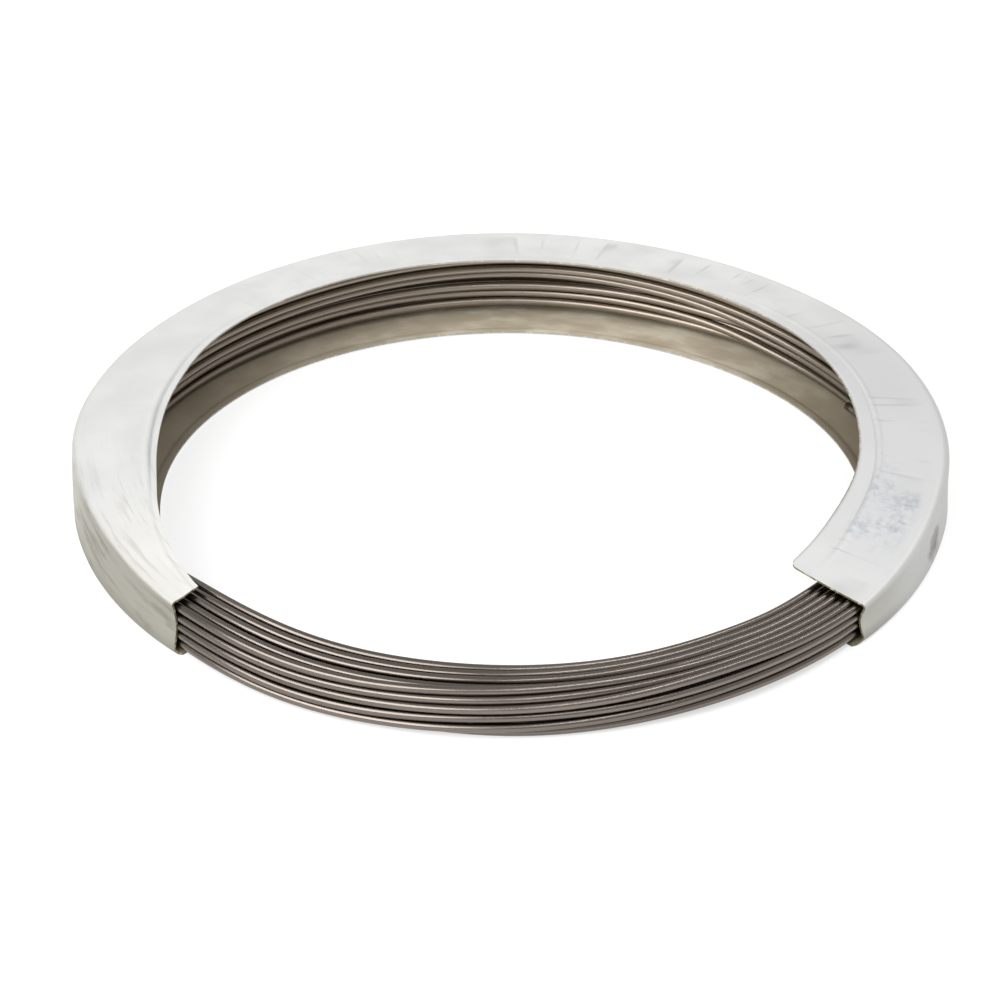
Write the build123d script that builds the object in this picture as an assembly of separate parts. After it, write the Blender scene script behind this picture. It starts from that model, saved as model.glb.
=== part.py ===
"""A coil of spring wire lying in an open ring of sheet-metal channel.

Millimetres. The ring lies flat on z = 0 with its axis up +Z, and the gap in the channel faces -Y.
"""

import os
from math import atan2, ceil, cos, degrees, hypot, pi, radians, sin

from build123d import *

# Channel ring
ring_diameter = 216.0
sheet = 0.5
bend_radius = 1.6
flange_width = 20.4
left_flange_width = 9.2
right_flange_width = 24.4
lip_width = 3.0
lip_step = 0.5
step_run = 0.6
mouth_rise = 2.2
left_end_slack = 4.3
web_bow = 0.3
corner_radius = 2.6

# Where the channel ends, in degrees either way from the back, and where its ends begin to close in
left_end_angle = 131.4
right_end_angle = 128.0
left_pinch_angle = 104.0
right_pinch_angle = 78.0
left_narrow_angle = 92.0
right_widen_angle = 88.0
right_wide_angle = 122.0
station_angle = 4.0
bend_flat_count = 2

# Wire coil, whose bundle of turns is tall and thin at the back and low and wide across the gap
wire_diameter = 2.2
tall_column_count = 3
tall_row_count = 8
low_row_count = 4
groove_share = 0.6
turn_flat_count = 2

# Fit: the gap round the coil, the room above it at the back, and the room from its inner turns to the base's lip
clearance = 0.1
headroom = 0.5
lip_gap = 0.7
overrun = 6.0

# Values worked out from those above
ring_radius = ring_diameter / 2
wire_radius = wire_diameter / 2
low_column_count = tall_column_count + tall_row_count - low_row_count
coil_outer_radius = ring_radius - sheet - web_bow - clearance
coil_floor = sheet + clearance
web_height = coil_floor + wire_diameter * tall_row_count + headroom + sheet
coil_inner_radius = coil_outer_radius - wire_diameter * low_column_count
base_flange_width = ring_radius - coil_inner_radius + lip_gap + step_run + lip_width
pinched_height = coil_floor + wire_diameter * low_row_count + clearance + sheet
left_height = pinched_height + left_end_slack
whole_share = 1.0


def ease(angle, start, stop):
    """Share that runs smoothly from 0 at the start angle to 1 at the stop angle."""
    share = min(max((angle - start) / (stop - start), 0), whole_share)
    return sin(share * pi / 2) ** 2


def between(first, second, share):
    """Point at a share of the way from the first point to the second."""
    return (first[0] + share * (second[0] - first[0]), first[1] + share * (second[1] - first[1]))


def section_plane(angle):
    """Upright plane through the ring's axis, with local x outwards and local y up."""
    out = (sin(radians(angle)), cos(radians(angle)), 0)
    along = (cos(radians(angle)), -sin(radians(angle)), 0)
    return Plane(origin=(0, 0, 0), x_dir=out, z_dir=along)


def carried(section, start, stop):
    """Solid carried from one angle to another through sections that change on the way."""
    steps = ceil(abs(stop - start) / station_angle)
    return loft([section(start + (stop - start) * i / steps) for i in range(steps + 1)], ruled=True)


def turned(section, start, stop):
    """Solid turned about the ring's axis from one angle to another, with the section it has at the start."""
    return revolve(section(start), axis=Axis.Z, revolution_arc=start - stop)


def rounded(center, radius, start, stop):
    """Points of a bend drawn as flats, in (out, up) from one angle in degrees to another."""
    turns = [radians(start + (stop - start) * i / bend_flat_count) for i in range(bend_flat_count + 1)]
    return [(center[0] + radius * cos(turn), center[1] + radius * sin(turn)) for turn in turns]


def channel_section(angle):
    """Closed outline of the folded sheet at one angle round the ring, as a face."""
    left = ease(-angle, left_pinch_angle, left_end_angle)
    right = ease(angle, right_pinch_angle, right_end_angle)
    narrow = ease(-angle, left_narrow_angle, left_end_angle)
    widen = ease(angle, right_widen_angle, right_wide_angle)
    height = web_height - left * (web_height - left_height) - right * (web_height - pinched_height)
    width = flange_width + narrow * (left_flange_width - flange_width)
    width = width + widen * (right_flange_width - flange_width)
    step = lip_step * (whole_share - narrow) * (whole_share - widen)
    inside_bend = bend_radius - sheet
    top_bend = (ring_radius - bend_radius, height - bend_radius)
    base_bend = (ring_radius - bend_radius, bend_radius)
    lip = ring_radius - width
    lip_top = height + mouth_rise - step
    lip_end = lip + lip_width
    shoulder = lip_end + step_run
    base_lip = ring_radius - base_flange_width
    base_lip_end = base_lip + lip_width
    base_shoulder = base_lip_end + step_run
    points = [
        (lip, lip_top),
        (lip_end, lip_top),
        (shoulder, lip_top + step),
        *rounded(top_bend, bend_radius, 90, 0),
        (ring_radius - web_bow, height / 2),
        *rounded(base_bend, bend_radius, 0, -90),
        (base_bend[0], -clearance),
        (base_shoulder, -clearance),
        (base_shoulder, 0),
        (base_lip_end, lip_step),
        (base_lip, lip_step),
        (base_lip, lip_step + sheet),
        (base_lip_end, lip_step + sheet),
        (base_shoulder, sheet),
        *rounded(base_bend, inside_bend, -90, 0),
        (ring_radius - sheet - web_bow, height / 2),
        *rounded(top_bend, inside_bend, 0, 90),
        (shoulder, lip_top + step - sheet),
        (lip_end, lip_top - sheet),
        (lip, lip_top - sheet),
    ]
    return section_plane(angle) * make_face(Polyline(points, close=True))


# Channel ring: one strip of thin sheet folded to a U with stepped lips and bent to an open ring
channel_ring = turned(channel_section, -left_narrow_angle, right_pinch_angle)
channel_ring = channel_ring + carried(channel_section, -left_narrow_angle, -left_end_angle)
channel_ring = channel_ring + carried(channel_section, right_pinch_angle, right_end_angle)

# Its base is cut to one true plane to lie on
floor_side = ring_diameter + 2 * overrun
floor_block = Pos(0, 0, -overrun / 2) * Box(floor_side, floor_side, overrun)
channel_ring = channel_ring - floor_block

# The wide end's inner corner is rounded off
corner_out = (sin(radians(right_end_angle)), cos(radians(right_end_angle)), 0)
corner_reach = ring_radius - right_flange_width
corner_plane = Plane(
    origin=(corner_out[0] * corner_reach, corner_out[1] * corner_reach, pinched_height / 2),
    x_dir=corner_out,
    z_dir=(0, 0, 1),
)
corner_side = corner_radius + overrun
corner_shift = (corner_radius - overrun) / 2
corner_square = Pos(corner_shift, corner_shift) * Rectangle(corner_side, corner_side)
corner_waste = corner_square - Pos(corner_radius, corner_radius) * Circle(corner_radius)
channel_ring = channel_ring - extrude(corner_plane * corner_waste, amount=web_height)


def rim_turns(column_count, row_count):
    """Places of the turns round the outside of a bundle of columns and rows, from its base's inner corner."""
    outs = [coil_outer_radius - wire_radius - wire_diameter * i for i in reversed(range(column_count))]
    ups = [coil_floor + wire_radius + wire_diameter * i for i in range(row_count)]
    base = [(out, ups[0]) for out in outs]
    outside = [(outs[-1], up) for up in ups[1:-1]]
    top = [(out, ups[-1]) for out in reversed(outs)]
    inside = [(outs[0], up) for up in reversed(ups[1:-1])]
    return base + outside + top + inside


# The same turns go round both forms of the bundle, with the middle of one base under the middle of the other
tall_turns = rim_turns(tall_column_count, tall_row_count)
low_turns = rim_turns(low_column_count, low_row_count)
shift = (low_column_count - tall_column_count) // 2
low_turns = low_turns[shift:] + low_turns[:shift]


def groove(turn, following):
    """Bottom of the groove between two neighbouring turns, on the outside of the bundle."""
    across = (following[0] - turn[0], following[1] - turn[1])
    reach = hypot(across[0], across[1])
    middle = between(turn, following, whole_share / 2)
    depth = wire_radius * groove_share
    return (middle[0] + depth * across[1] / reach, middle[1] - depth * across[0] / reach)


def coil_section(angle):
    """Outline of the bundle at one angle, as a face: each turn stands out of its grooves with a back of flats."""
    low = ease(angle, right_pinch_angle, right_end_angle) + ease(-angle, left_pinch_angle, left_end_angle)
    turns = [between(tall, flat, low) for tall, flat in zip(tall_turns, low_turns)]
    grooves = [groove(turn, following) for turn, following in zip(turns, turns[1:] + turns[:1])]
    outline = []
    for i, turn in enumerate(turns):
        first = atan2(grooves[i - 1][1] - turn[1], grooves[i - 1][0] - turn[0])
        last = atan2(grooves[i][1] - turn[1], grooves[i][0] - turn[0])
        span = (last - first) % (2 * pi)
        outline.append(grooves[i - 1])
        for flat in range(1, turn_flat_count):
            at = first + span * flat / turn_flat_count
            outline.append((turn[0] + wire_radius * cos(at), turn[1] + wire_radius * sin(at)))
    return section_plane(angle) * make_face(Polyline(outline, close=True))


# Wire coil: turned where its bundle stays the same, and carried on where the channel presses it down
past_gap_angle = degrees(2 * pi) - left_end_angle
wire_coil = turned(coil_section, -left_pinch_angle, right_pinch_angle)
wire_coil = wire_coil + carried(coil_section, right_pinch_angle, right_end_angle)
wire_coil = wire_coil + carried(coil_section, -left_pinch_angle, -left_end_angle)
wire_coil = wire_coil + turned(coil_section, right_end_angle, past_gap_angle)

os.makedirs("parts", exist_ok=True)
export_step(channel_ring, "parts/channel_ring.step")
export_step(wire_coil, "parts/wire_coil.step")
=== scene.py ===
import math

import bpy
import numpy as np
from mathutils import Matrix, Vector


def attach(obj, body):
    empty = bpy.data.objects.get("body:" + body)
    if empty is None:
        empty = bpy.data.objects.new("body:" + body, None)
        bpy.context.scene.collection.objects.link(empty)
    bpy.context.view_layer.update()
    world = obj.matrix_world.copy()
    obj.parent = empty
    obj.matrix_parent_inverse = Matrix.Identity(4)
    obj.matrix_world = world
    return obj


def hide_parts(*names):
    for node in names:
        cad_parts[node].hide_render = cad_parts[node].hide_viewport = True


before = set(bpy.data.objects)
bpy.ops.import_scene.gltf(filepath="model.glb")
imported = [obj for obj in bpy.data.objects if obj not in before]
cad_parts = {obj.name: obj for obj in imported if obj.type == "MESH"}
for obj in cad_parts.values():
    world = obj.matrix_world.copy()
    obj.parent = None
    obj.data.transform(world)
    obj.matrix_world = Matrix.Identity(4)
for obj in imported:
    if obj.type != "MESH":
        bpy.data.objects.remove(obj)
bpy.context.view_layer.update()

# Channel ring: one strip of thin bright tinplate, roll-formed to a U with its mouth towards the middle, with
# a stepped lip along each inner edge, bent to an open ring and pressed together at its two cut ends.
# It holds the coil by itself, so nothing fastens it.
MM = 0.001
FLANGE, TOP_BEND, WEB, BASE_BEND, BASE = range(5)
sheet = 0.5 * MM
half_sheet = sheet / 2


def ease(x, start, stop):
    """Share that runs smoothly from 0 at start to 1 at stop: the cubic 3t^2 - 2t^3 of the clipped ratio."""
    t = np.clip((x - start) / (stop - start), 0.0, 1.0)
    return t * t * (3.0 - 2.0 * t)


def through(x, places, values):
    """Smooth curve through a few given values: piecewise cubic with the mean slope at each place."""
    places = np.asarray(places, float)
    values = np.asarray(values, float)
    slopes = np.gradient(values, places)
    x = np.clip(x, places[0], places[-1])
    k = np.clip(np.searchsorted(places, x) - 1, 0, len(places) - 2)
    span = places[k + 1] - places[k]
    t = (x - places[k]) / span
    rise = (values[k + 1] - values[k]) * t * t * (3.0 - 2.0 * t)
    return values[k] + rise + span * t * (1.0 - t) * (slopes[k] * (1.0 - t) - slopes[k + 1] * t)


def bump(x, middle, width):
    """Bell curve of height 1 round the middle: e to the minus square of the distance over the width."""
    return np.exp(-(((x - middle) / width) ** 2))


def waves(seed, turns, across, count, low, high):
    """Slow dents: a sum of cosines of both surface parameters, with seeded directions, lengths and phases."""
    rng = np.random.default_rng(seed)
    total = np.zeros(np.broadcast(turns, across).shape)
    along_rates = rng.uniform(low, high, count)
    across_rates = rng.uniform(-high, high, count)
    phases = rng.uniform(0.0, 2.0 * math.pi, count)
    for along_rate, across_rate, phase in zip(along_rates, across_rates, phases):
        total = total + np.cos(along_rate * turns + across_rate * across + phase)
    return total / math.sqrt(count)


def grid_mesh(name, verts, faces, smooth):
    """Mesh object at the origin from whole arrays: vertices, quads and which quads are shaded smooth."""
    mesh = bpy.data.meshes.new(name)
    mesh.vertices.add(len(verts))
    mesh.vertices.foreach_set("co", np.asarray(verts, np.float32).ravel())
    faces = np.asarray(faces, np.int32)
    mesh.loops.add(faces.size)
    mesh.loops.foreach_set("vertex_index", faces.ravel())
    mesh.polygons.add(len(faces))
    mesh.polygons.foreach_set("loop_start", np.arange(0, faces.size, 4, dtype=np.int32))
    mesh.polygons.foreach_set("use_smooth", smooth)
    mesh.update(calc_edges=True)
    mesh.validate()
    obj = bpy.data.objects.new(name, mesh)
    bpy.context.scene.collection.objects.link(obj)
    return obj


def strip_faces(rows, cols, first, wrap=False):
    """Quads of a grid stored row by row from vertex number first; wrap closes it across its columns."""
    row = np.arange(rows - 1)[:, None]
    col = np.arange(cols if wrap else cols - 1)[None, :]
    here = first + row * cols + col
    beside = first + row * cols + (col + 1) % cols
    return np.stack([here, beside, beside + cols, here + cols], -1).reshape(-1, 4)


def point_value(obj, name, values):
    """Store one number per vertex as an attribute that a material can read."""
    layer = obj.data.attributes.new(name, "FLOAT", "POINT")
    layer.data.foreach_set("value", np.asarray(values, np.float32).ravel())


def corner_uv(obj, uv):
    """Give each face corner its vertex's place on the flat strip, in metres along and across it."""
    index = np.empty(len(obj.data.loops), np.int32)
    obj.data.loops.foreach_get("vertex_index", index)
    layer = obj.data.uv_layers.new(name="strip")
    layer.data.foreach_set("uv", np.asarray(uv, np.float32)[index].ravel())


def placed(turn, out, up):
    """Points at a turn from the back, a distance out from the axis and a height."""
    angle = np.radians(turn)
    return np.stack(np.broadcast_arrays(out * np.sin(angle), out * np.cos(angle), up), -1)


def channel_profile(turn, part, share):
    """Mid-surface of the folded sheet in (out, up), and how near a point is to the groove beside the lip.

    turn is the angle in degrees from the back towards the right. part counts the profile's runs: top flange,
    top bend, web, base bend and base flange, and share runs along one of them. Each run is a straight line or
    a quarter circle between the flange, web and bend sizes at that turn.
    """
    reach = through(
        turn,
        (-131, -116, -104, -91, -74, -60, -42, -10, 45, 70, 90, 104, 115, 128),
        (106.9, 106.7, 106.9, 107.5, 107.0, 107.2, 107.8, 108.0, 107.3, 107.6, 107.8, 106.9, 106.7, 106.8),
    ) * MM
    height = through(turn, (-132, -104, -50, 0, 40, 76, 128), (14.3, 19.2, 19.3, 19.8, 19.4, 19.2, 10.7)) * MM
    lip_rise = through(turn, (-131, -96, -30, 0, 25, 70, 127), (1.5, 1.9, 2.1, 1.9, 2.1, 2.3, 2.6)) * MM
    inner = through(
        turn,
        (-131, -122, -112, -105, -96, -75, -55, -35, 0, 35, 60, 80, 98, 113, 123),
        (98.8, 95.7, 91.6, 88.8, 86.8, 85.9, 88.2, 88.8, 88.3, 87.7, 86.8, 86.0, 85.4, 83.8, 83.6),
    ) * MM
    base_inner = through(
        turn,
        (-131, -96, -60, -30, 0, 40, 70, 100, 128),
        (88.0, 86.4, 87.4, 88.2, 88.4, 87.3, 87.2, 86.8, 87.5),
    ) * MM
    bend_places = (-131, -90, -50, 0, 50, 90, 112, 127)
    bend = through(turn, bend_places, (0.8, 1.2, 1.5, 1.0, 2.0, 2.3, 1.7, 0.9)) * MM
    base_bend = through(turn, (-131, -95, 85, 127), (1.3, 1.4, 1.5, 1.3)) * MM
    lip_width = through(turn, (-131, -92, -60, 0, 60, 95, 120), (1.2, 1.9, 2.2, 2.2, 3.4, 4.2, 6.0)) * MM
    step_places = (-110, -100, -80, -62, -40, 40, 62, 82, 104, 118, 126)
    step = through(turn, step_places, (0.1, 0.45, 0.6, 0.3, 0.08, 0.06, 0.25, 0.5, 0.6, 0.2, 0.0)) * MM
    bow = through(turn, (-131, -118, -108, 96, 108, 127), (0.9, 0.4, 0.15, 0.15, 0.3, 1.2)) * MM
    wall = reach - half_sheet
    dent_height = 0.05 * MM
    dents_along = np.radians(turn) * 9.0
    dents = waves(seed=3, turns=dents_along, across=share * 4.0, count=14, low=0.4, high=2.2) * dent_height
    fan = np.sin(np.clip(share, 0, 1) * math.pi)
    quarter = share * math.pi / 2

    # Top flange, which rises inwards to a lip set one step lower, with a small ridge beside the step
    step_before = 0.25 * MM
    step_after = 0.45 * MM
    ridge_after = 0.8 * MM
    ridge_width = 0.5 * MM
    ridge_share = 0.5
    rise_power = 1.3
    lip_end = inner + lip_width
    flange_out = inner + share * (wall - bend - inner)
    on_lip = 1.0 - ease(flange_out, lip_end - step_before, lip_end + step_after)
    ridge = bump(flange_out, lip_end + ridge_after, ridge_width) * step * ridge_share
    rise = (1.0 - share) ** rise_power * lip_rise
    flange_up = height - half_sheet + rise - on_lip * step + ridge + dents * fan
    out = np.where(part == FLANGE, flange_out, 0.0)
    up = np.where(part == FLANGE, flange_up, 0.0)

    # Top bend, bowed web and base bend
    web_top = height - half_sheet - bend
    web_base = half_sheet + base_bend
    web_dents = dents * 0.6
    out = np.where(part == TOP_BEND, wall - bend + bend * np.sin(quarter), out)
    up = np.where(part == TOP_BEND, web_top + bend * np.cos(quarter), up)
    out = np.where(part == WEB, wall - bow * fan + web_dents * fan, out)
    up = np.where(part == WEB, web_top + share * (web_base - web_top), up)
    out = np.where(part == BASE_BEND, wall - base_bend + base_bend * np.cos(quarter), out)
    up = np.where(part == BASE_BEND, web_base - base_bend * np.sin(quarter), up)

    # Base flange, with a slightly raised rim
    rim_start = 2.4 * MM
    rim_stop = 1.5 * MM
    rim_height = 0.35 * MM
    base_out = wall - base_bend + share * (base_inner - wall + base_bend)
    rim = ease(base_out, base_inner + rim_start, base_inner + rim_stop) * rim_height
    out = np.where(part == BASE, base_out, out)
    up = np.where(part == BASE, half_sheet + rim, up)

    # The groove is deepest at the lip's step, and fades where the step does
    groove_width = 0.3 * MM
    full_step = 0.5 * MM
    groove = bump(out, lip_end, groove_width) * np.clip(step / full_step, 0.0, 1.0)
    return out, up, np.where(part == FLANGE, groove, 0.0)


# The strip's runs with how finely each is divided, crowded at the strip's edges to keep them crisp. The first
# run's shares go from 0 to 1, and the others start one step in, from the last point of the run before.
runs = [(FLANGE, 52), (TOP_BEND, 9), (WEB, 16), (BASE_BEND, 8), (BASE, 34)]
part_row = np.concatenate([np.full(n, p) for p, n in runs])[None, :]
share_row = np.concatenate([(np.arange(n) + (p > 0)) / (n - (p == 0)) for p, n in runs])[None, :]
crisp_share = 0.003
share_row[0, 1] = crisp_share
share_row[0, -2] = 1.0 - crisp_share

# The cut ends, in degrees from the back: each base reaches a little past its flange and slants back inwards
left_flange_end = -131.4
left_web_end = -131.5
left_base_past = 0.8
left_base_slant = 1.2
right_lip_end = 127.4
right_flange_slant = 0.6
right_web_end = 128.0
right_base_past = 1.6
right_base_slant = 1.4
left_base_end = left_web_end - left_base_past
right_base_end = right_web_end + right_base_past
left_cut = np.where(part_row < WEB, left_flange_end, left_web_end)
left_cut = np.where(part_row == BASE_BEND, left_web_end - left_base_past * share_row, left_cut)
left_cut = np.where(part_row == BASE, left_base_end + left_base_slant * share_row, left_cut)
right_cut = np.where(part_row == FLANGE, right_lip_end + right_flange_slant * share_row, right_web_end)
right_cut = np.where(part_row == BASE_BEND, right_web_end + right_base_past * share_row, right_cut)
right_cut = np.where(part_row == BASE, right_base_end - right_base_slant * share_row, right_cut)

# The right flange's inner corner is rounded
corner = 2.6 * MM
end_flange_width = 24.0 * MM
end_lip_radius = 84.0 * MM
from_lip = np.clip(corner - share_row * end_flange_width, 0.0, corner)
rounding = np.degrees((corner - np.sqrt(corner**2 - from_lip**2)) / end_lip_radius)
right_cut = right_cut - np.where(part_row == FLANGE, rounding, 0.0)

# Mid-surface from end to end, then both skins half a sheet either side of it
stations_along = 400
crisp_end = 0.0001
along = np.linspace(0.0, 1.0, stations_along)[:, None]
along[1] = crisp_end
along[-2] = 1.0 - crisp_end
turn = left_cut + along * (right_cut - left_cut)
out, up, groove = channel_profile(turn, part_row, share_row)
tangent_out = np.gradient(out, axis=1)
tangent_up = np.gradient(up, axis=1)
length = np.hypot(tangent_out, tangent_up) + 1e-12
normal_out = -tangent_up / length
normal_up = tangent_out / length
outer_skin = placed(turn, out + normal_out * half_sheet, up + normal_up * half_sheet)
inner_skin = placed(turn, out - normal_out * half_sheet, up - normal_up * half_sheet)

# Quads of the two skins and of the four edges that close them
rows, cols = turn.shape
count = rows * cols
skin = strip_faces(rows, cols, 0)
lining = strip_faces(rows, cols, count)[:, ::-1]
start = np.arange(rows - 1) * cols
lip_edge = np.stack([start, start + cols, start + cols + count, start + count], -1)
base_edge = np.stack([start, start + count, start + cols + count, start + cols], -1) + cols - 1
col = np.arange(cols - 1)
left_edge = np.stack([col, col + count, col + 1 + count, col + 1], -1)
right_edge = np.stack([col, col + 1, col + 1 + count, col + count], -1) + (rows - 1) * cols
verts = np.concatenate([outer_skin.reshape(-1, 3), inner_skin.reshape(-1, 3)])
faces = np.concatenate([skin, lining, lip_edge, base_edge, left_edge, right_edge])[:, ::-1]
edge_start = len(skin) + len(lining)
channel = grid_mesh("channel_ring_sheet", verts, faces, np.arange(len(faces)) < edge_start)

# What the material reads: how worn each cut edge is, the place on the flat strip, and where each run lies
long_edge_wear = 0.45
edge_wear = np.zeros(len(faces), np.float32)
edge_wear[edge_start:] = long_edge_wear
edge_wear[-len(left_edge) - len(right_edge):] = 1.0
cut_edge = channel.data.attributes.new("cut_edge", "FLOAT", "FACE")
cut_edge.data.foreach_set("value", edge_wear)
mean_radius = 100.0 * MM
strip_across = np.cumsum(length, axis=1)
strip_across = strip_across - strip_across[:, [runs[0][1]]]
uv = np.stack([np.radians(turn) * mean_radius, strip_across], -1).reshape(-1, 2)
corner_uv(channel, np.concatenate([uv, uv]))
everywhere = np.ones_like(turn)
nowhere = np.zeros_like(turn)
plateau = (part_row == FLANGE) * ease(share_row, 0.16, 0.3) * (1.0 - ease(share_row, 0.8, 0.97)) * everywhere
on_web = np.where(part_row == TOP_BEND, share_row, (part_row == WEB) | (part_row == BASE_BEND)) * everywhere
down_web = np.where(part_row == WEB, share_row, part_row == BASE_BEND) * everywhere
for name, outside, inside in (
    ("plateau", plateau, plateau),
    ("web", on_web, on_web),
    ("groove", groove, nowhere),
    ("down_web", down_web, down_web),
    ("turn", turn, turn),
    ("lining", nowhere, everywhere),
):
    point_value(channel, name, np.concatenate([outside.ravel(), inside.ravel()]))


class Nodes:
    """Small helper that adds shader nodes to one material and links sockets by name."""

    def __init__(self, name):
        self.material = bpy.data.materials.new(name)
        self.material.use_nodes = True
        self.tree = self.material.node_tree
        self.shader = self.tree.nodes["Principled BSDF"]

    def feed(self, socket, value):
        """Link a socket to another one, or set its own value."""
        if isinstance(value, bpy.types.NodeSocket):
            self.tree.links.new(value, socket)
        else:
            socket.default_value = value

    def add(self, kind, inputs=None, **settings):
        """New node with its settings and inputs."""
        node = self.tree.nodes.new(kind)
        for key, value in settings.items():
            setattr(node, key, value)
        for key, value in (inputs or {}).items():
            self.feed(node.inputs[key], value)
        return node

    def math(self, operation, a, b=0.0):
        """Two values put together by one operation, such as ADD or MAXIMUM."""
        return self.add("ShaderNodeMath", {0: a, 1: b}, operation=operation).outputs[0]

    def times(self, first, *others):
        """Product of all the values."""
        for other in others:
            first = self.math("MULTIPLY", first, other)
        return first

    def noise(self, vector, rates, detail=3.0, rough=0.5):
        """Cloudy pattern from 0 to 1 with so many clouds to the metre along and across the strip."""
        spot = self.add("ShaderNodeMapping", {"Vector": vector, "Scale": (*rates, 1.0)}).outputs[0]
        inputs = {"Vector": spot, "Scale": 1.0, "Detail": detail, "Roughness": rough}
        return self.add("ShaderNodeTexNoise", inputs).outputs["Fac"]

    def band(self, value, low, high, to_low=0.0, to_high=1.0):
        """Smooth step from one level at low to another at high."""
        inputs = {"Value": value, "From Min": low, "From Max": high, "To Min": to_low, "To Max": to_high}
        return self.add("ShaderNodeMapRange", inputs, interpolation_type="SMOOTHSTEP").outputs["Result"]

    def blend(self, factor, a, b):
        """Colour a turned into colour b by the factor: sockets 6 and 7 are the two colours."""
        return self.add("ShaderNodeMix", {0: factor, 6: a, 7: b}, data_type="RGBA").outputs[2]

    def value(self, name):
        """The piece's own attribute of that name."""
        return self.add("ShaderNodeAttribute", attribute_name=name).outputs["Fac"]

    def put(self, socket, value):
        """Feed one of the surface shader's sockets."""
        self.feed(self.shader.inputs[socket], value)


# Tinplate: satin, cold-rolled, with hairline wrinkles across the flange, rub streaks by the left end, grime
# and painted shade on the outer wall, painted shade on the flange's right and in the groove by the lip,
# a bluish spangled patch and a dark rub mark on the right, and painted shade with painted reflections inside
tin = Nodes("tinplate_satin")
strip = tin.add("ShaderNodeUVMap", uv_map="strip").outputs["UV"]
plateau_mask = tin.value("plateau")
web_mask = tin.value("web")
web_depth = tin.value("down_web")
where = tin.value("turn")
lining_mask = tin.value("lining")
edge_mask = tin.value("cut_edge")

# Clean sheet: cloudy, a little darker towards the left, and darkened on the right by painted shade
cloud_grey = (0.73, 0.73, 0.72, 1.0)
bright_grey = (0.8, 0.8, 0.79, 1.0)
left_grey = (0.66, 0.66, 0.65, 1.0)
right_shade_grey = (0.62, 0.62, 0.62, 1.0)
clouds = tin.noise(strip, (70.0, 90.0), 4.0)
tone = tin.blend(tin.band(clouds, 0.3, 0.7), cloud_grey, bright_grey)
tone = tin.blend(tin.band(where, -25.0, -75.0, 0.0, 0.5), tone, left_grey)
# Painted shade: the flange is darkened towards its right end
right_painted_shade = tin.times(tin.band(where, 30.0, 75.0), tin.band(where, 126.0, 104.0, 0.65, 0.9))
tone = tin.blend(right_painted_shade, tone, right_shade_grey)

# Hairline wrinkles, where a slow noise crosses its middle value
wrinkle_grey = (0.42, 0.42, 0.42, 1.0)
wrinkle = tin.noise(strip, (115.0, 5.0), 0.0)
wrinkle_line = tin.band(tin.math("ABSOLUTE", tin.math("SUBTRACT", wrinkle, 0.5)), 0.03, 0.0)
wrinkle_place = tin.band(tin.noise(strip, (60.0, 80.0), 1.0), 0.42, 0.7)
wrinkle_side = tin.band(where, -90.0, 70.0, 0.05, 0.55)
wrinkle_mark = tin.times(wrinkle_line, wrinkle_place, plateau_mask, wrinkle_side)
tone = tin.blend(wrinkle_mark, tone, wrinkle_grey)

# Left end: a warm film with lengthwise rub streaks
warm_grey = (0.8, 0.785, 0.74, 1.0)
streak_brown = (0.48, 0.46, 0.41, 1.0)
streaks = tin.noise(strip, (55.0, 800.0), 4.0, 0.65)
tone = tin.blend(tin.band(where, -100.0, -124.0, 0.0, 0.6), tone, warm_grey)
left_streaks = tin.times(tin.band(where, -84.0, -112.0), tin.band(streaks, 0.5, 0.68), 0.45)
tone = tin.blend(left_streaks, tone, streak_brown)

# Right end: a bluish spangled patch
spangle_blue = (0.34, 0.385, 0.44, 1.0)
patch_place = tin.times(tin.band(where, 92.0, 104.0), tin.band(where, 124.0, 112.0), plateau_mask)
spangle = tin.noise(strip, (420.0, 420.0), 6.0, 0.75)
patch_mark = tin.times(patch_place, tin.band(clouds, 0.4, 0.6), tin.band(spangle, 0.36, 0.7), 0.8)
tone = tin.blend(patch_mark, tone, spangle_blue)

# Painted shade in the groove beside the lip
groove_shade_brown = (0.34, 0.335, 0.31, 1.0)
tone = tin.blend(tin.times(tin.value("groove"), 0.45), tone, groove_shade_brown)

# Outer wall: painted shade makes it darker than the flange, less so towards the right; over that a grime
# pattern, heaviest on the left, darker towards the bottom and towards the left end, with smudges there
# The wall's grey is painted shade: the wall is the same tinplate as the flange
wall_shade_grey = (0.5, 0.488, 0.425, 1.0)
grime_and_bottom_brown = (0.14, 0.128, 0.098, 1.0)
left_brown = (0.2, 0.19, 0.15, 1.0)
smudge_brown = (0.15, 0.14, 0.11, 1.0)
less_shade_grey = (0.68, 0.68, 0.665, 1.0)
grime = tin.band(tin.noise(strip, (45.0, 520.0), 5.0, 0.65), 0.46, 0.7)
grime = tin.times(grime, tin.band(where, 20.0, -100.0, 0.08, 0.9))
grime_and_dark_bottom = tin.math("MAXIMUM", grime, tin.band(web_depth, 0.72, 1.0, 0.0, 0.6))
web_tone = tin.blend(grime_and_dark_bottom, wall_shade_grey, grime_and_bottom_brown)
web_tone = tin.blend(tin.band(where, -86.0, -116.0, 0.0, 0.65), web_tone, left_brown)
smudge = tin.band(tin.noise(strip, (95.0, 260.0), 4.0, 0.6), 0.52, 0.7, 0.0, 0.6)
web_tone = tin.blend(tin.times(smudge, tin.band(where, -60.0, -95.0)), web_tone, smudge_brown)
# Painted shade eased towards the right of the wall
right_less_shade = tin.times(tin.band(where, 0.0, 70.0), tin.band(where, 127.0, 112.0, 0.3, 0.85))
web_tone = tin.blend(right_less_shade, web_tone, less_shade_grey)

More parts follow.
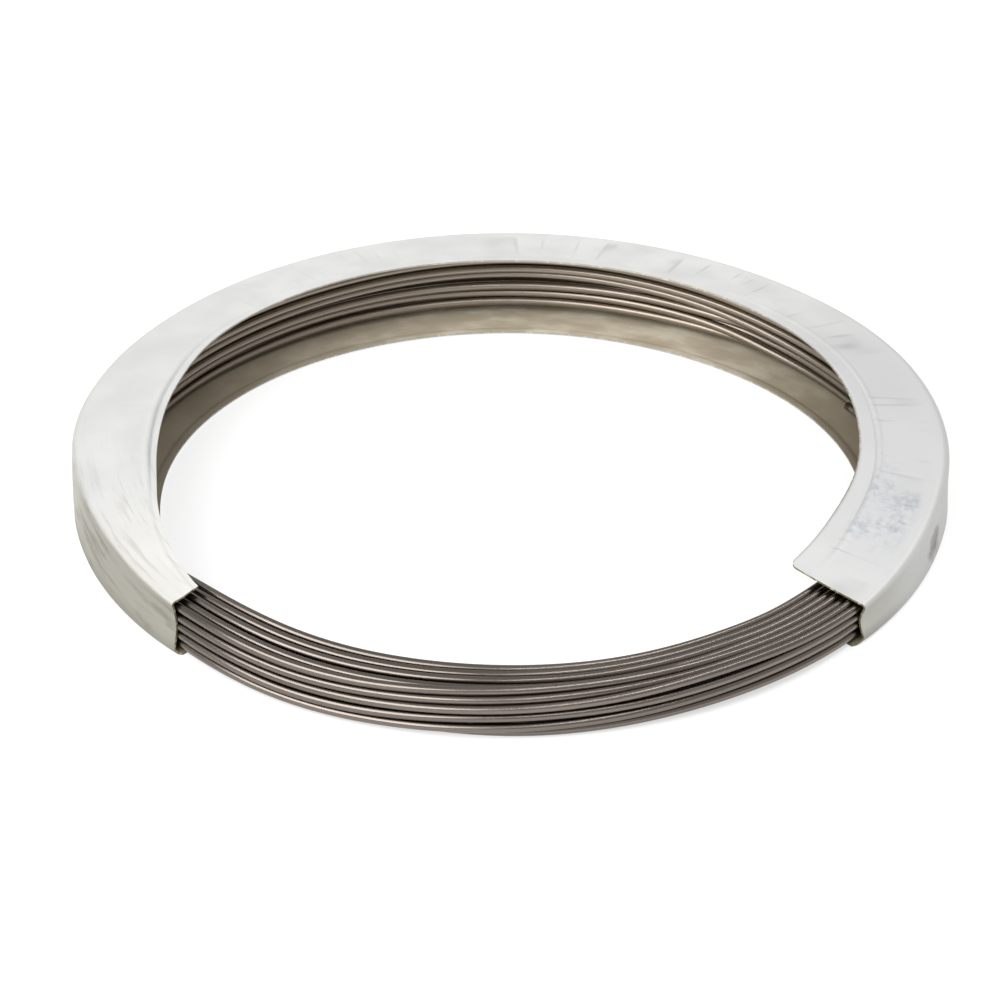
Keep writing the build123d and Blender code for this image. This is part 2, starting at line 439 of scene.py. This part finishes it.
# Rub mark on the right of the wall: an oval with a ragged edge
rub_dark = (0.14, 0.11, 0.12, 1.0)
rub_turn = 105.5
rub_half_turn = 3.4
rub_depth = 0.6
rub_half_depth = 0.42
rub_along = tin.math("DIVIDE", tin.math("SUBTRACT", where, rub_turn), rub_half_turn)
rub_down = tin.math("DIVIDE", tin.math("SUBTRACT", web_depth, rub_depth), rub_half_depth)
rub_far = tin.math("ADD", tin.times(rub_along, rub_along), tin.times(rub_down, rub_down))
rub_ragged = tin.band(tin.noise(strip, (420.0, 420.0), 4.0, 0.6), 0.3, 0.7, -0.3, 0.3)
rub_mark = tin.band(tin.math("ADD", rub_far, rub_ragged), 1.1, -0.2, 0.0, 0.75)
web_tone = tin.blend(rub_mark, web_tone, rub_dark)
tone = tin.blend(tin.times(web_mask, 0.9), tone, web_tone)

# Inside: painted shade and a painted brown reflection of the wire, blotched with pale painted light, and
# darker painted shade at both sides
inside_shade_brown = (0.57, 0.5, 0.38, 1.0)
inside_light_pale = (0.8, 0.735, 0.6, 1.0)
inside_side_shade = (0.23, 0.195, 0.14, 1.0)
blotch = tin.band(tin.noise(strip, (75.0, 150.0), 4.0), 0.38, 0.7)
side = tin.math("MAXIMUM", tin.band(where, -3.0, -62.0, 0.0, 0.88), tin.band(where, 20.0, 75.0, 0.0, 0.95))
inside_painted_tone = tin.blend(side, tin.blend(blotch, inside_shade_brown, inside_light_pale), inside_side_shade)
tone = tin.blend(lining_mask, tone, inside_painted_tone)

# Cut edges: dark brown, worn bright in places
edge_dark = (0.16, 0.145, 0.085, 1.0)
edge_bright = (0.52, 0.50, 0.36, 1.0)
edge_tone = tin.blend(tin.band(spangle, 0.5, 0.62), edge_dark, edge_bright)
tin.put("Base Color", tin.blend(edge_mask, tone, edge_tone))

# Gloss and relief: a satin grain along the strip, duller inside and on the outer wall
dull = tin.math("MAXIMUM", lining_mask, edge_mask)
tin.put("Metallic", tin.math("SUBTRACT", 0.35, tin.times(dull, 0.2)))
grain = tin.noise(strip, (150.0, 2600.0))
satin = tin.math("ADD", tin.band(clouds, 0.2, 0.8, 0.44, 0.54), tin.times(grain, 0.06))
dullness = tin.math("ADD", tin.times(lining_mask, 0.1), tin.times(web_mask, 0.1))
tin.put("Roughness", tin.math("ADD", satin, dullness))
relief = tin.math("SUBTRACT", tin.times(grain, 0.25), wrinkle_mark)
scuffs = tin.add("ShaderNodeBump", {"Strength": 0.25, "Distance": 0.4 * MM, "Height": relief})
tin.put("Normal", scuffs.outputs["Normal"])
channel.data.materials.append(tin.material)
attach(channel, "root")
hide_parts("channel_ring")

# Spring wire: one length of drawn grey-brown steel, wound in two dozen turns that spring out against the web.
# The bundle stands tall and thin at the back, where the channel is open, and is squeezed low and wide at the
# two pressed ends and across the gap. Its first end lies loose inside the channel on the right.
wire_radius = 1.1 * MM
turns_of_wire = 24
stations = 240
start_turn = 62.0


def nested_slots(columns, rows):
    """Column and row numbers of a block of turns, as nested L-shaped layers in one snake.

    A layer runs along the top of the block from its inner side outwards, then down its outer side. Every
    second layer is taken backwards, so that each slot touches the next, and the list starts from the
    innermost layer.
    """
    slots = []
    for depth in range(min(columns, rows)):
        layer = [(column, depth) for column in range(columns - depth)]
        layer += [(columns - 1 - depth, row) for row in range(depth + 1, rows)]
        slots += layer[::-1] if depth % 2 else layer
    return np.array(slots[:turns_of_wire][::-1], float).T


def centred(number, count):
    """Slot numbers from 0 to one less than the count, spread evenly from -1 to 1."""
    return number / ((count - 1) / 2) - 1.0


def bundle_aims(seed):
    """Angle of every station of the one long strand, its aimed place in (out, up) and the room it may use.

    Each turn keeps a slot in three blocks: six high and four deep at the back, five by five at the left end
    and seven wide and four high at the right end, with a smooth change between them. A turn moves one slot on
    just before it meets the start again. Slots are stretched to the bundle's width and height at each station
    and wander a little. The room is a lowest and a highest (out, up), and the distance between two turns.
    """
    rng = np.random.default_rng(seed)
    total = turns_of_wire * stations + 1
    strand = np.arange(total) / stations
    lap = strand % 1.0
    angle = start_turn + 360.0 * lap
    angle = np.where(angle > 180.0, angle - 360.0, angle)
    shift_start = 0.86
    slot = np.floor(np.minimum(strand, turns_of_wire - 1e-6)) + ease(lap, shift_start, 1.0)
    number = np.arange(turns_of_wire)

    # The three blocks
    tall_height = 6
    tall_depth = 4
    left_width = 5
    left_height = 5
    right_width = 7
    right_height = 4
    tall_row, tall_layer = nested_slots(tall_height, tall_depth)
    left_column, left_row = nested_slots(left_width, left_height)
    right_column, right_row = nested_slots(right_width, right_height)
    stagger = 0.1 * np.where(tall_row % 2 == 0, 1.0, -1.0)
    tall_out = stagger - centred(tall_layer, tall_depth)
    tall_up = -centred(tall_row, tall_height)
    front = np.where(angle < 0.0, angle + 360.0, angle)
    left = ease(front, 140.0, 218.0)
    wide = ease(-angle, 104.0, 129.0) + ease(angle, 78.0, 125.0)
    wide_out = (1.0 - left) * np.interp(slot, number, centred(right_column, right_width))
    wide_out = wide_out + left * np.interp(slot, number, centred(left_column, left_width))
    wide_up = (1.0 - left) * np.interp(slot, number, -centred(right_row, right_height))
    wide_up = wide_up + left * np.interp(slot, number, -centred(left_row, left_height))
    slot_out = (1.0 - wide) * np.interp(slot, number, tall_out) + wide * wide_out
    slot_up = (1.0 - wide) * np.interp(slot, number, tall_up) + wide * wide_up

    # The bundle's size and the room round it
    places = (-180, -150, -131, -104, -40, 0, 40, 76, 127, 150, 180)
    half_width = through(angle, places, (6.8, 6.0, 5.1, 3.5, 3.3, 3.3, 3.3, 3.5, 6.4, 6.7, 6.8)) * MM
    half_height = through(angle, places, (4.9, 4.8, 5.1, 5.8, 5.8, 5.6, 5.8, 5.6, 3.4, 4.0, 4.9)) * MM
    face_places = (-180, -150, -131, -104, -74, -40, 0, 40, 76, 104, 127, 150, 180)
    face_values = (108.9, 107.3, 104.6, 105.0, 105.2, 105.6, 106.1, 105.4, 105.7, 104.9, 103.9, 106.4, 108.9)
    face = through(angle, face_places, face_values) * MM
    floor_places = (-180, -152, -134, -120, -50, 0, 45, 110, 128, 146, 166, 180)
    floor_values = (1.2, 1.6, 2.4, 1.8, 2.2, 4.3, 2.8, 1.7, 2.0, 2.7, 1.5, 1.2)
    floor = through(angle, floor_places, floor_values) * MM
    ceiling = through(angle, (-180, -131, -104, 76, 127, 180), (15.5, 12.7, 17.3, 17.3, 9.0, 15.5)) * MM
    innermost = 80.0 * MM
    low = np.stack([np.full(total, innermost), floor])
    high = np.stack([face, ceiling])
    spread = through(angle, (-180, -140, -108, 90, 126, 180), (1.0, 1.03, 1.0, 1.0, 1.0, 1.0))
    apart = spread * 2.0 * wire_radius

    # The aim, with the first end laid loose on the floor of the channel
    knot_gap = 20
    wander_share = 0.7
    end_length = 0.13
    end_inwards = 2.5 * MM
    end_lift = 0.4 * MM
    knots = np.arange(0, total + knot_gap, knot_gap)
    wander = np.array([np.interp(np.arange(total), knots, rng.normal(0, 1, len(knots))) for _ in range(2)])
    loose = through(angle, (-180, -127, -90, 90, 126, 180), (0.5, 0.25, 0.35, 0.35, 0.25, 0.5)) * MM
    aim = np.stack([face - half_width + slot_out * half_width, floor + half_height + slot_up * half_height])
    aim = aim + wander * loose * wander_share
    first_end = 1.0 - ease(strand, 0.0, end_length)
    aim[0] = aim[0] - end_inwards * first_end
    aim[1] = aim[1] + (floor + end_lift - aim[1]) * first_end
    return angle, aim, low, high, apart[:stations]


def smoothed(place, share):
    """Strand with each point moved by a share of the way to the middle of its two neighbours."""
    place[:, 1:-1] = place[:, 1:-1] + share * ((place[:, :-2] + place[:, 2:]) / 2 - place[:, 1:-1])
    return place


def settled(aim, low, high, near):
    """Out and up of the strand once it has come to rest.

    Each of many small steps smooths the strand, pulls it towards its aim, pushes turns that lie nearer than
    their distance straight apart and keeps it in its room. A few last steps only smooth it.
    """
    settle_steps = 420
    push_rounds = 2
    finish_steps = 6
    smooth_share = 0.35
    aim_share = 0.02
    push_share = 0.3
    finish_share = 0.4
    body = turns_of_wire * stations
    itself = np.arange(turns_of_wire)
    place = aim.copy()
    for _ in range(settle_steps):
        place = smoothed(place, smooth_share)
        place = place + aim_share * (aim - place)
        for _ in range(push_rounds):
            across = place[:, :body].reshape(2, turns_of_wire, stations)
            gap = across[:, :, None, :] - across[:, None, :, :]
            apart = np.sqrt((gap**2).sum(0)) + 1e-9
            push = np.clip(near[None, None, :] - apart, 0.0, None) / apart
            push[itself, itself] = 0.0
            moved = (gap * push[None]).sum(2) * push_share
            place[:, :body] = place[:, :body] + moved.reshape(2, body)
        place = np.clip(place, low, high)
    for _ in range(finish_steps):
        place = smoothed(place, finish_share)
    return place


def tube(points, radius, sides):
    """Round tube along a line of points: a circle set square to the line at each one."""
    ahead = np.gradient(points, axis=0)
    ahead = ahead / np.linalg.norm(ahead, axis=1, keepdims=True)
    upright = np.array([0.0, 0.0, 1.0]) - ahead * ahead[:, 2:3]
    upright = upright / np.linalg.norm(upright, axis=1, keepdims=True)
    sideways = np.cross(upright, ahead)
    round_angle = np.linspace(0.0, 2.0 * math.pi, sides, endpoint=False)
    aside = sideways[:, None] * np.cos(round_angle)[None, :, None]
    above = upright[:, None] * np.sin(round_angle)[None, :, None]
    return points[:, None] + radius * (aside + above)


wire_angle, wire_aim, wire_low, wire_high, wire_near = bundle_aims(seed=11)
wire_out, wire_up = settled(wire_aim, wire_low, wire_high, wire_near)
wire_line = placed(wire_angle, wire_out, wire_up)
sides = 12
verts = tube(wire_line, wire_radius, sides).reshape(-1, 3)
around = strip_faces(len(wire_line), sides, 0, wrap=True)
step = np.arange(sides // 2 - 1)
cap = np.stack([step, step + 1, sides - 2 - step, sides - 1 - step], -1)
last_ring = (len(wire_line) - 1) * sides
faces = np.concatenate([around, cap[:, ::-1], cap + last_ring])
wire = grid_mesh("wire_turns", verts, faces, np.arange(len(faces)) < len(around))
run = np.concatenate([[0.0], np.cumsum(np.linalg.norm(np.diff(wire_line, axis=0), axis=1))])
girth = np.arange(sides)[None, :] * 2.0 * math.pi * wire_radius / sides
wire_uv = np.stack(np.broadcast_arrays(run[:, None], girth), -1)
corner_uv(wire, wire_uv.reshape(-1, 2))
# Painted light: how far each station lies inside the channel, where the wire's colour is made paler
sheltered = 1.0 - ease(np.abs(wire_angle), 85.0, 120.0)
point_value(wire, "sheltered", np.repeat(sheltered, sides))

# Drawn steel: fine lengthwise die lines under a thin brown-grey film that varies along the wire; inside the
# channel the wire is painted paler, as painted light where the channel shades it
steel = Nodes("spring_wire_drawn")
steel_dark = (0.16, 0.138, 0.121, 1.0)
steel_pale = (0.225, 0.195, 0.172, 1.0)
speck_brown = (0.07, 0.055, 0.045, 1.0)
sheltered_painted_light = (0.33, 0.285, 0.235, 1.0)
lay = steel.add("ShaderNodeUVMap", uv_map="strip").outputs["UV"]
film = steel.noise(lay, (9.0, 60.0), 4.0)
lines = steel.noise(lay, (25.0, 6000.0))
specks = steel.noise(lay, (900.0, 900.0), 2.0)
shade = steel.blend(steel.band(film, 0.3, 0.7), steel_dark, steel_pale)
shade = steel.blend(steel.band(specks, 0.62, 0.74, 0.0, 0.25), shade, speck_brown)
indoors = steel.value("sheltered")
# Painted light: paler colour on the turns inside the channel
steel.put("Base Color", steel.blend(steel.times(indoors, 0.7), shade, sheltered_painted_light))
steel.put("Metallic", 1.0)
gloss = steel.band(film, 0.2, 0.8, 0.2, 0.28)
steel.put("Roughness", steel.math("ADD", gloss, steel.times(indoors, 0.1)))
die_lines = steel.add("ShaderNodeBump", {"Strength": 0.12, "Distance": 0.15 * MM, "Height": lines})
steel.put("Normal", die_lines.outputs["Normal"])
wire.data.materials.append(steel.material)
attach(wire, "root")
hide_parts("wire_coil")

# Studio: a plain pale floor, a long soft strip overhead and a large soft light from the front left, which
# show on the metal as long soft highlights. The surroundings are white only where the camera sees them.
half_side = 3.0
floor_corners = [
    (-half_side, -half_side, 0.0),
    (half_side, -half_side, 0.0),
    (half_side, half_side, 0.0),
    (-half_side, half_side, 0.0),
]
floor_mesh = bpy.data.meshes.new("floor")
floor_mesh.from_pydata(floor_corners, [], [(0, 1, 2, 3)])
floor = bpy.data.objects.new("floor", floor_mesh)
bpy.context.scene.collection.objects.link(floor)
floor_glow = 0.6
plain = Nodes("floor_white")
plain.put("Base Color", (0.5, 0.5, 0.5, 1.0))
plain.put("Roughness", 0.9)
plain.put("Specular IOR Level", 0.0)
plain.put("Emission Color", (1.0, 1.0, 1.0, 1.0))
sight = plain.add("ShaderNodeLightPath")
shown = plain.math("MAXIMUM", sight.outputs["Is Camera Ray"], sight.outputs["Is Glossy Ray"])
shown = plain.math("MAXIMUM", shown, sight.outputs["Is Transmission Ray"])
plain.put("Emission Strength", plain.times(shown, floor_glow))
floor.data.materials.append(plain.material)

# Surroundings: plain white to the camera, and a softer level as light on the object
ambient_strength = 0.58
backdrop_strength = 1.0
world = bpy.data.worlds.new("white_surround")
bpy.context.scene.world = world
world.use_nodes = True
tree = world.node_tree
tree.nodes.clear()
path = tree.nodes.new("ShaderNodeLightPath")
seen = tree.nodes.new("ShaderNodeMath")
seen.operation = "MAXIMUM"
tree.links.new(path.outputs["Is Camera Ray"], seen.inputs[0])
tree.links.new(path.outputs["Is Transmission Ray"], seen.inputs[1])
pick = tree.nodes.new("ShaderNodeMixShader")
tree.links.new(seen.outputs[0], pick.inputs[0])
for slot, strength in ((1, ambient_strength), (2, backdrop_strength)):
    glow = tree.nodes.new("ShaderNodeBackground")
    glow.inputs["Color"].default_value = (1.0, 1.0, 1.0, 1.0)
    glow.inputs["Strength"].default_value = strength
    tree.links.new(glow.outputs[0], pick.inputs[slot])
sky = tree.nodes.new("ShaderNodeOutputWorld")
tree.links.new(pick.outputs[0], sky.inputs["Surface"])


def soft_light(name, place, aim, size, power):
    """Rectangular area lamp at a place, turned to face a point."""
    lamp = bpy.data.lights.new(name, "AREA")
    lamp.shape = "RECTANGLE"
    lamp.size, lamp.size_y = size
    lamp.energy = power
    obj = bpy.data.objects.new(name, lamp)
    bpy.context.scene.collection.objects.link(obj)
    obj.location = place
    obj.rotation_euler = (Vector(aim) - Vector(place)).to_track_quat("-Z", "Y").to_euler()


soft_light("soft_above", place=(0.5, -0.1, 1.2), aim=(0.2, 0.0, 0.0), size=(2.8, 0.13), power=7.5)
soft_light("soft_left", place=(-1.0, -0.85, 0.95), aim=(0.0, 0.0, 0.0), size=(1.8, 1.1), power=27.0)

# Camera: a long lens, about thirty degrees above the table, facing the gap. The picture's side, the ring's
# radius in it and how far the aim lies from the ring's middle are in pixels.
ring_radius = 108.0 * MM
picture_side = 1000.0
radius_in_picture = 437.5
aim_right_in_picture = -10.5
aim_up_in_picture = 5.5
distance_in_radii = 15.0
sensor_width = 36.0
elevation = math.radians(30.0)
camera_data = bpy.data.cameras.new("camera")
camera_data.sensor_width = sensor_width
camera_data.lens = radius_in_picture * distance_in_radii * sensor_width / picture_side
camera_data.clip_end = 20.0
camera = bpy.data.objects.new("camera", camera_data)
bpy.context.scene.collection.objects.link(camera)
aim_right = aim_right_in_picture / radius_in_picture * ring_radius
aim_up = aim_up_in_picture / radius_in_picture * ring_radius
aim = np.array([aim_right, aim_up * math.sin(elevation), aim_up * math.cos(elevation)])
back_off = np.array([0.0, -math.cos(elevation), math.sin(elevation)])
camera.location = aim + distance_in_radii * ring_radius * back_off
camera.rotation_euler = (math.pi / 2 - elevation, 0.0, 0.0)
bpy.context.scene.camera = camera
bpy.context.scene.view_settings.view_transform = "Standard"
